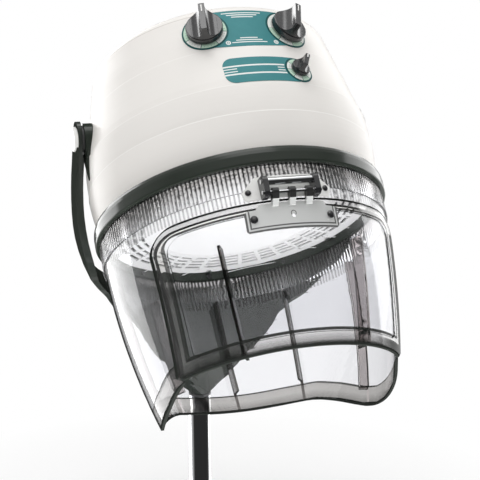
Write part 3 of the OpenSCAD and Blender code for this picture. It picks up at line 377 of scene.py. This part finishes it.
def clearPlastic(name, bands, shape):
    m = Paint(name, ior=1.49, transmissionWeight=1.0)
    x, y, z = m.parts(m.local(hoodMatrix()))
    colour = m.mix(m.noise(*clearFinish["cloud"]), clearFinish["tint"], clearFinish["tintShade"])
    colour, ink = bands(m, x, y, z, colour)
    least, vary = clearFinish["rough"]
    rough = (m.noise(*clearFinish["grain"]) - clearFinish["grainFrom"]).atLeast(0) * vary + least
    # painted shade: a wall seen edge on, and every cut edge, is painted dark
    turned = m.turnedAway(*clearFinish["edgeOn"])
    inner = 1.0
    if shape is visorShape:
        ribbed = z.between(*visorShape["ribBand"])
        rough = rough + ribbed * visorShape["ribRough"]
        turned = turned * (1 - ribbed)
        inner = ((x * x + y * y) ** 0.5).spread(*visorShape["finReach"], 1, 0)
    # painted shade: each clear fin is painted as a dark or pale line, standing in for the fin seen edge on
    for angle, shade in shape["fins"].items():
        # distance from a fin's middle plane, which passes through the hood's axis
        a = math.radians(angle)
        aside = abs(x * math.cos(a) + y * math.sin(a))
        ahead = (x * math.sin(a) - y * math.cos(a)).over(0)
        fin = (1 - aside.over(clearFinish["finHalf"])) * ahead * inner * (1 - z.over(shape["finTop"]))
        colour = m.mix(fin, colour, clearFinish[shade])
    m.put("baseColor", colour)
    m.put("roughness", rough)
    dark = m.matt(clearFinish["ink"], clearFinish["paintedShadeRough"])
    clear = m.mixShaders(ink.atLeast(turned), m.finish, dark)
    through = m.node("ShaderNodeBsdfTransparent", {}, {"Color": (*clearFinish["shadow"], 1)})
    m.surface(m.mixShaders(m.path("Is Shadow Ray"), clear, through))
    return m.material


chromeFinish = {
    "dark": (0.74, 0.75, 0.76), "light": (0.8, 0.81, 0.82), "streak": (300, 300, 6),
    "grain": (2.0, 3), "rough": (0.04, 0.09),
}


def chrome():
    m = Paint("chrome", metallic=1.0)
    fine = m.noise(*chromeFinish["grain"], m.stretched(m.place(), chromeFinish["streak"]))
    m.put("baseColor", m.mix(fine, chromeFinish["dark"], chromeFinish["light"]))
    m.roughen(fine, *chromeFinish["rough"])
    return m.material


steelFinish = {
    "dark": (0.52, 0.52, 0.51), "light": (0.62, 0.62, 0.61),
    "grain": (700, 3), "rough": (0.22, 0.2), "grainBump": (0.00003, 0.3), "edge": 0.0003,
}


def steel():
    m = Paint("steel", metallic=1.0)
    grain = m.noise(*steelFinish["grain"])
    m.put("baseColor", m.mix(grain, steelFinish["dark"], steelFinish["light"]))
    m.roughen(grain, *steelFinish["rough"])
    m.bump(grain, *steelFinish["grainBump"], steelFinish["edge"])
    return m.material


# the plate at the top of the door: painted shade lines for a groove round its face, a ring in its middle and
# its outline, and dark knuckles above
plate = {
    "halfWidth": 0.060, "low": -0.089, "edge": 0.0020, "groove": (0.0041, 0.0059),
    "boss": -0.070, "bossRing": (0.0026, 0.0036), "knuckle": -0.0535,
    "dark": (0.69, 0.70, 0.69), "light": (0.73, 0.74, 0.73), "brushed": (3, 2), "brush": (12, 12, 420),
    "plateLinePaintedShade": (0.04, 0.04, 0.04), "lineShare": 0.85, "knuckleDark": (0.02, 0.02, 0.02),
    "metallic": 0.3, "grain": (500, 2), "rough": (0.28, 0.05),
}


def plateMetal():
    m = Paint("plateMetal")
    place = m.local(hoodMatrix())
    x, y, z = m.parts(place)
    brushed = m.noise(*plate["brushed"], m.stretched(place, plate["brush"]))
    metal = m.mix(brushed, plate["dark"], plate["light"])
    inside = (plate["halfWidth"] - abs(x)).atMost(z - plate["low"])
    up = z - plate["boss"]
    boss = ((x * x + up * up) ** 0.5).between(*plate["bossRing"])
    # painted shade along the groove, the ring round the boss and the outline
    lines = most([inside.between(*plate["groove"]), boss, 1 - inside.over(plate["edge"])])
    knuckle = z.over(plate["knuckle"])
    colour = m.mix(lines * plate["lineShare"], metal, plate["plateLinePaintedShade"])
    m.put("baseColor", m.mix(knuckle, colour, plate["knuckleDark"]))
    m.put("metallic", (1 - knuckle) * plate["metallic"])
    m.roughen(m.noise(*plate["grain"]), *plate["rough"])
    return m.material


mouldedFinish = {
    "cloud": (26, 3), "cloudShade": 0.92, "grain": (240, 3), "roughVary": 0.16,
    "peel": (1100, 2), "peelBump": (0.00008, 0.4), "edge": 0.0006,
    # each plastic's colour and middle roughness
    "nylon": ((0.05, 0.05, 0.05), 0.5),
    "blackPlastic": ((0.022, 0.022, 0.023), 0.5),
    "whitePlastic": ((0.83, 0.83, 0.81), 0.36),
    "greyPlastic": ((0.2, 0.2, 0.2), 0.5),
    "diffuserPlastic": ((0.88, 0.88, 0.87), 0.4),
    "screwBlack": ((0.03, 0.03, 0.03), 0.35),
}


def mouldedPlastic(name):
    m = Paint(name, ior=1.48)
    (colour, middle), vary = mouldedFinish[name], mouldedFinish["roughVary"]
    shade = tuple(c * mouldedFinish["cloudShade"] for c in colour)
    m.put("baseColor", m.mix(m.noise(*mouldedFinish["cloud"]), colour, shade))
    m.roughen(m.noise(*mouldedFinish["grain"]), middle - vary / 2, vary)
    m.bump(m.noise(*mouldedFinish["peel"]), *mouldedFinish["peelBump"], mouldedFinish["edge"])
    return m.material


motorFinish = {
    "dark": (0.16, 0.17, 0.18), "light": (0.24, 0.25, 0.26), "metallic": 0.4,
    "flake": (1500, 2), "rough": (0.3, 0.2), "cast": (300, 3), "castBump": (0.0001, 0.4), "edge": 0.0008,
}


def motorPaint():
    m = Paint("motorPaint", ior=1.5, metallic=motorFinish["metallic"])
    flake = m.noise(*motorFinish["flake"])
    m.put("baseColor", m.mix(flake, motorFinish["dark"], motorFinish["light"]))
    m.roughen(flake, *motorFinish["rough"])
    m.bump(m.noise(*motorFinish["cast"]), *motorFinish["castBump"], motorFinish["edge"])
    return m.material


micaFinish = {"dark": (0.42, 0.34, 0.21), "light": (0.62, 0.54, 0.38), "flakes": 240, "rough": (0.3, 0.3)}


def micaBoard():
    m = Paint("micaBoard", ior=1.55)
    flakes = m.grey(m.node("ShaderNodeTexVoronoi", {"feature": "F1"}, {
        "Vector": m.place(), "Scale": micaFinish["flakes"]}, "Color"))
    m.put("baseColor", m.mix(flakes, micaFinish["dark"], micaFinish["light"]))
    m.roughen(flakes, *micaFinish["rough"])
    return m.material


labelFinish = {
    "teal": (0.064, 0.238, 0.252), "tealDeep": (0.050, 0.208, 0.222), "outline": (0.012, 0.085, 0.085),
    "stripe": (0.80, 0.81, 0.79), "shine": 0.15, "cloud": (130, 3), "grain": (400, 3), "rough": (0.34, 0.12),
    "dialInner": 0.001, "dialOuter": 0.002,  # the dark ring on a label, round the edge of a dial
}
upperLabel = {
    # level lines that get shorter towards the middle: the height of each, and half its length
    "lines": ((0.2335, 0.027), (0.2300, 0.021), (0.2265, 0.015),
              (0.1830, 0.024), (0.1865, 0.018), (0.1900, 0.012)),
    "lineHalf": 0.00075,
    "discs": ((-0.029, 0.1835), (0.037, 0.1835)), "discRadius": 0.0034, "discRing": (0.0012, 0.0018),
}
lowerLabel = {
    # level lines: height, half the thickness, and both ends
    "lines": ((0.1433, 0.0012, -0.05, 0.038), (0.1301, 0.0012, -0.05, 0.038),
              (0.1389, 0.00075, -0.05, -0.029), (0.1389, 0.00075, 0.026, 0.038),
              (0.1345, 0.00075, -0.05, -0.029), (0.1345, 0.00075, 0.026, 0.038)),
    "clearOfDial": 0.003,
}
dialFinish = {
    "pale": (0.84, 0.87, 0.83), "paleShade": (0.798, 0.8265, 0.7885), "green": (0.55, 0.74, 0.60),
    "ink": (0.02, 0.09, 0.09), "ring": 0.0007, "depth": 0.02,
    "border": 0.9, "turnSoft": 0.2,  # degrees on the largest dial
    "tickShare": 0.1, "tickWidth": 0.5,
    # radius, the ring of ticks, and in degrees one segment and the end of the scale
    "dials": {"timer": (0.029, (0.0248, 0.0262), 50, 300), "thermostat": (0.029, (0.0248, 0.0262), 45, 270),
              "regulator": (0.0185, (0.0134, 0.0146), 45, 360)},
}


def labelPaint(name, colour, deep):
    m = Paint(name, ior=1.48, specularIorLevel=labelFinish["shine"])
    m.roughen(m.noise(*labelFinish["grain"]), *labelFinish["rough"])
    return m, m.mix(m.noise(*labelFinish["cloud"]), colour, deep)


def onDial(m, key):
    # distance from a dial's middle, the angle round it, and 1 near its plane
    u, v, w = m.parts(m.local(dialMatrix(*dialPlace[key])))
    near = w.between(-dialFinish["depth"], dialFinish["depth"])
    return (u * u + v * v) ** 0.5, u.bearing(v).wrapped(360.0), near


def dialOutline(m, key, colour):
    reach, radius = onDial(m, key)[0], dialFinish["dials"][key][0]
    ring = reach.between(radius - labelFinish["dialInner"], radius + labelFinish["dialOuter"])
    return m.mix(ring, colour, labelFinish["outline"])


def upperPrint():
    m, colour = labelPaint("upperLabelPrint", labelFinish["teal"], labelFinish["tealDeep"])
    x, y, z = m.parts(m.local(hoodMatrix()))
    thick = upperLabel["lineHalf"]
    white = most([z.between(height - thick, height + thick) * (1 - abs(x).over(half))
                  for height, half in upperLabel["lines"]])
    for across, height in upperLabel["discs"]:
        off = ((x - across) * (x - across) + (z - height) * (z - height)) ** 0.5
        hollow = off.between(*upperLabel["discRing"])
        white = white.atLeast(1 - off.over(upperLabel["discRadius"])) * (1 - hollow)
    colour = m.mix(white, colour, labelFinish["stripe"])
    for key in ("timer", "thermostat"):
        colour = dialOutline(m, key, colour)
    m.put("baseColor", colour)
    return m.material


def lowerPrint():
    m, colour = labelPaint("lowerLabelPrint", labelFinish["teal"], labelFinish["tealDeep"])
    x, y, z = m.parts(m.local(hoodMatrix()))
    white = most([z.between(height - half, height + half) * x.between(start, end)
                  for height, half, start, end in lowerLabel["lines"]])
    clear = onDial(m, "regulator")[0].over(dialFinish["dials"]["regulator"][0] + lowerLabel["clearOfDial"])
    colour = m.mix(white * clear, colour, labelFinish["stripe"])
    m.put("baseColor", dialOutline(m, "regulator", colour))
    return m.material


def dialPrint():
    m, colour = labelPaint("dialPrint", dialFinish["pale"], dialFinish["paleShade"])
    soft = dialFinish["turnSoft"]
    inks = []
    for key, (radius, tickRing, segment, sweep) in dialFinish["dials"].items():
        reach, turned, near = onDial(m, key)
        dial = near * (1 - reach.over(radius + labelFinish["dialOuter"]))
        here = dial * (1 - turned.over(sweep, soft))
        # every second segment is green
        pair = turned.wrapped(2.0 * segment)
        colour = m.mix(pair.over(segment, soft) * here, colour, dialFinish["green"])
        # a dark line at each segment's ends, finer ticks between them, and a ring at the edge
        wide = dialFinish["border"] * dialFinish["dials"]["timer"][0] / radius
        ends = 1 - turned.folded(segment / 2).over(wide, soft)
        tick = turned.folded(segment * dialFinish["tickShare"])
        ticks = (1 - tick.over(wide * dialFinish["tickWidth"], soft)) * reach.between(*tickRing)
        inks += [ends.atLeast(ticks) * here, reach.over(radius - dialFinish["ring"]) * dial]
    m.put("baseColor", m.mix(most(inks), colour, dialFinish["ink"]))
    return m.material


finishes = {
    "white_shell": whiteShell(),
    "dark_gloss": gloss("darkGloss"),
    "clear_plastic": clearPlastic("doorPlastic", doorBands, doorShape),
    "chrome": chrome(),
    "steel": steel(),
    "nylon": mouldedPlastic("nylon"),
    "black_plastic": mouldedPlastic("blackPlastic"),
    "black_gloss": gloss("blackGloss"),
    "white_plastic": mouldedPlastic("whitePlastic"),
    "grey_plastic": mouldedPlastic("greyPlastic"),
    "teal_label": upperPrint(),
    "pale_dial": dialPrint(),
    "mica_board": micaBoard(),
    "motor_paint": motorPaint(),
    "plate_metal": plateMetal(),
}
ownFinish = {
    "lower_label": lowerPrint(),
    "yoke_frame": gloss("yokeGloss"),
    "diffuser_plate": mouldedPlastic("diffuserPlastic"),
    "visor_screws": mouldedPlastic("screwBlack"),
    "visor_shell": clearPlastic("visorPlastic", visorBands, visorShape),
}

slotOf = {entry["node"]: entry["material_slot"] for entry in frame["record"]["subparts"]}
for name, thing in nodes.items():
    finish = ownFinish.get(name) or finishes[slotOf[name]]
    thing.data.materials.clear()
    thing.data.materials.append(finish)
print("scene:", len(nodes), "pieces finished")


studio = {
    "floor": (0.96, 0.96, 0.96), "floorShade": (0.9552, 0.9552, 0.9552), "floorCloud": (3, 2),
    "floorRough": 0.9, "floorSize": 6.0, "floorCells": 8, "floorFade": (0.2, 0.6),
    "air": 0.50,  # plain light on matt surfaces
    # What gloss shows: a dark room with white paper at its sides, two tall bright windows and a bright top.
    # A window and "behind" are two angles in degrees and how soft their edges are.
    "front": 0.03, "sides": 0.8, "sidesFrom": (-0.25, 0.35), "topFrom": (0.5, 0.9), "behind": (149, -176, 2),
    "leftGlow": 4.6, "leftWindow": (-177, -127, 0.4), "leftSlant": 0.6,
    "rightGlow": 2.8, "rightWindow": (96, 140, 0.4), "windowRise": (-32, 27, 2),
    "topGlow": 3.2, "skylight": (0.93, 0.01),
    "bounced": (0.5, 0.1),  # between no bounce and one
    "lamps": {
        # place, aim, width, height, watts
        "top": ((0.0, -0.1, 2.6), (0, -0.15, 0.6), 1.8, 1.4, 25),
        "left": ((-1.7, -0.4, 1.9), (0, -0.15, 0.6), 0.9, 1.4, 7.5),
        "right": ((2.0, -0.5, 1.2), (0, -0.15, 0.55), 0.9, 1.6, 8),
        "front": ((-0.9, -2.4, 1.6), (0, -0.15, 0.5), 1.4, 1.2, 3),
        "under": ((-0.05, -0.62, 0.04), (0, -0.217, 0.53), 0.5, 0.5, 8.5),
    },
}


def studioWorld():
    world = bpy.data.worlds.new("studio")
    w = Wiring(world, "ShaderNodeOutputWorld")
    x, y, z = w.parts(w.place("Generated"))
    angle = x.bearing(-1 * y)
    rise = z.maths("ARCSINE") * toDegrees
    left = (angle + rise * studio["leftSlant"]).between(*studio["leftWindow"]) * studio["leftGlow"]
    right = angle.between(*studio["rightWindow"]) * studio["rightGlow"]
    sky = z.over(*studio["skylight"]) * studio["topGlow"]
    bright = (left.atLeast(right) * rise.between(*studio["windowRise"])).atLeast(sky)
    paper = y.spread(*studio["sidesFrom"]).atLeast(z.spread(*studio["topFrom"]))
    start, end, soft = studio["behind"]
    paper = paper * (1 - angle.over(start, soft)) * angle.over(end, soft)
    shown = (paper * (studio["sides"] - studio["front"]) + studio["front"]).atLeast(bright)
    # light that only passed through clear plastic sees the plain white room
    bounced = (w.path("Ray Depth") - w.path("Transmission Depth")).over(*studio["bounced"])
    straight = w.path("Is Transmission Ray") * (1 - bounced)
    mirrored = w.path("Is Glossy Ray").atLeast(w.path("Is Transmission Ray") * bounced)
    level = w.path("Is Diffuse Ray") * studio["air"] + w.path("Is Camera Ray") + straight + mirrored * shown
    w.surface(w.node("ShaderNodeBackground", {}, {"Color": (1, 1, 1, 1), "Strength": level}))
    scene.world = world


def studioFloor():
    # a flat square grid at z = 0, whose far part melts into the white around it
    size, cells = studio["floorSize"], studio["floorCells"]
    steps = np.linspace(-size, size, cells + 1)
    x, y = np.meshgrid(steps, steps)
    points = np.stack([x, y, np.zeros_like(x)], axis=-1).reshape(-1, 3)
    a = (np.arange(cells)[:, None] * (cells + 1) + np.arange(cells)).ravel()
    faces = np.stack([a, a + 1, a + cells + 2, a + cells + 1], axis=1)
    mesh = bpy.data.meshes.new("floor")
    mesh.from_pydata(points, [], faces.tolist())
    floor = bpy.data.objects.new("floor", mesh)
    floor.visible_glossy = False
    scene.collection.objects.link(floor)
    m = Paint("floorPaper", specularIorLevel=0.0, roughness=studio["floorRough"])
    m.put("baseColor", m.mix(m.noise(*studio["floorCloud"]), studio["floor"], studio["floorShade"]))
    x, y, z = m.parts(m.place())
    far = ((x * x + y * y) ** 0.5).spread(*studio["floorFade"])
    seen = m.path("Is Camera Ray").atLeast(m.path("Is Transmission Ray"))
    white = m.node("ShaderNodeEmission", {}, {"Color": (1, 1, 1, 1), "Strength": 1.0})
    m.surface(m.mixShaders(far * seen, m.finish, white))
    mesh.materials.append(m.material)


def studioLamps():
    for name, (place, aim, width, height, watts) in studio["lamps"].items():
        lamp = bpy.data.lights.new(name, "AREA")
        lamp.shape, lamp.size, lamp.size_y, lamp.energy = "RECTANGLE", width, height, watts
        holder = bpy.data.objects.new(name, lamp)
        holder.location = place
        holder.visible_camera = holder.visible_glossy = holder.visible_transmission = False
        holder.rotation_euler = (Vector(aim) - Vector(place)).to_track_quat("-Z", "Y").to_euler()
        scene.collection.objects.link(holder)


# metres, degrees and millimetres
view = {
    "place": (-0.6015, -2.0225, 0.9106), "azimuth": -18.355, "tilt": 11.827, "roll": -0.577,
    "lens": 107.04, "sensor": 36, "farthest": 60,
}


def studioCamera():
    a, e, roll = (math.radians(view[key]) for key in ("azimuth", "tilt", "roll"))
    back = Vector((math.sin(a) * math.cos(e), -math.cos(a) * math.cos(e), math.sin(e)))
    level = Vector((math.cos(a), math.sin(a), 0))
    right = level * math.cos(roll) + back.cross(level) * math.sin(roll)
    turn = Matrix((right, back.cross(right), back)).transposed().to_4x4()
    camera = bpy.data.objects.new("camera", bpy.data.cameras.new("camera"))
    camera.data.lens, camera.data.sensor_width = view["lens"], view["sensor"]
    camera.data.clip_end = view["farthest"]
    camera.matrix_world = Matrix.Translation(view["place"]) @ turn
    scene.collection.objects.link(camera)
    scene.camera = camera


studioWorld()
studioFloor()
studioLamps()
studioCamera()
scene.view_settings.view_transform = "Standard"
print("scene: studio ready")
